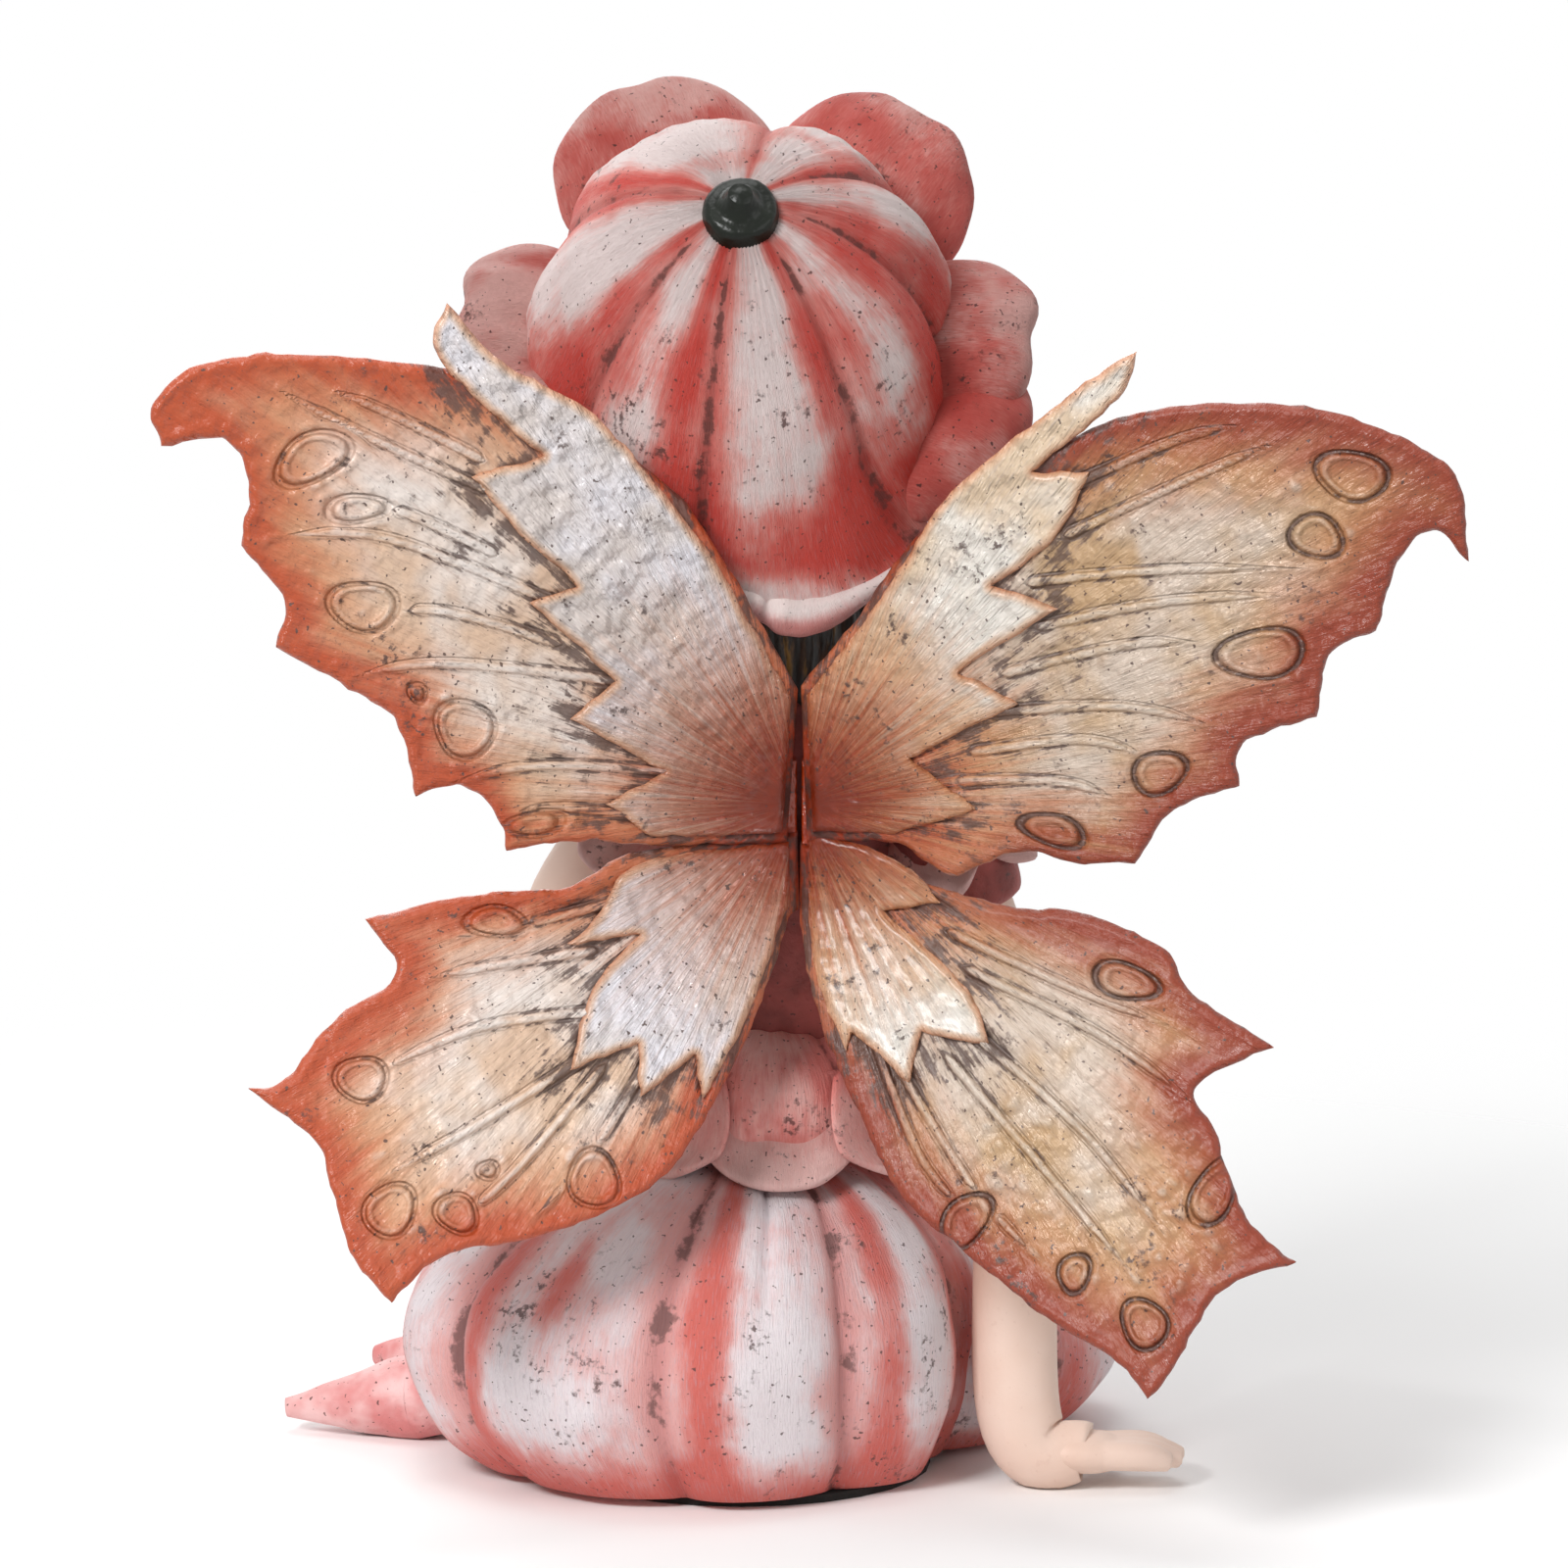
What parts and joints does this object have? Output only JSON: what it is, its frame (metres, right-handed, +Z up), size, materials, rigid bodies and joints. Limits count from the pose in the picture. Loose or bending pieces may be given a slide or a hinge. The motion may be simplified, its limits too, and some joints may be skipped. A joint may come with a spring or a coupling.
{
  "type": "fairy figurine",
  "caption": "Seated fairy figurine in a flower hat and petal dress, with open butterfly wings glued into its back, cast resin on a flat felt pad.",
  "frame": {"origin": "middle of the pad's underside, on the surface the figurine stands on", "axes": "+Z up, +Y the way the fairy faces, +X to her right"},
  "size_m": [0.1852, 0.1141, 0.2038],
  "materials": {
    "figure_resin": "painted cast resin, dry-brushed over a dark wash",
    "wing_resin": "painted cast resin with a pearl sheen and dark wash",
    "pad_felt": "black felt"
  },
  "bodies": {
    "root": {"figure": "figure_resin", "left_wings": "wing_resin", "right_wings": "wing_resin", "base_pad": "pad_felt"}
  },
  "joints": []
}
